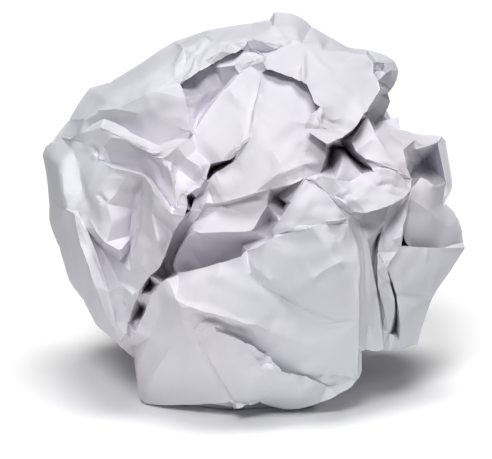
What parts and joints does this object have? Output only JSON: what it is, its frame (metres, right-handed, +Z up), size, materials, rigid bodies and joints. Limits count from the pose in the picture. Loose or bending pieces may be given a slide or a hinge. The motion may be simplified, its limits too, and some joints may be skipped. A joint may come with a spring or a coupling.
{
  "type": "crumpled paper ball",
  "caption": "sheet of plain office paper crumpled by hand into a rough ball, with sharp folds, pleats, dark clefts and loose corners, resting on its flattest side",
  "frame": {"origin": "bottom centre of the bounding box, on the surface the ball rests on", "axes": "+X across the ball to the right as seen from its front and its longest side, +Y from front to back, +Z up"},
  "size_m": [0.0874, 0.0786, 0.0795],
  "materials": {
    "paper": "matt"
  },
  "bodies": {
    "root": {"paper_ball": "paper"}
  },
  "joints": []
}
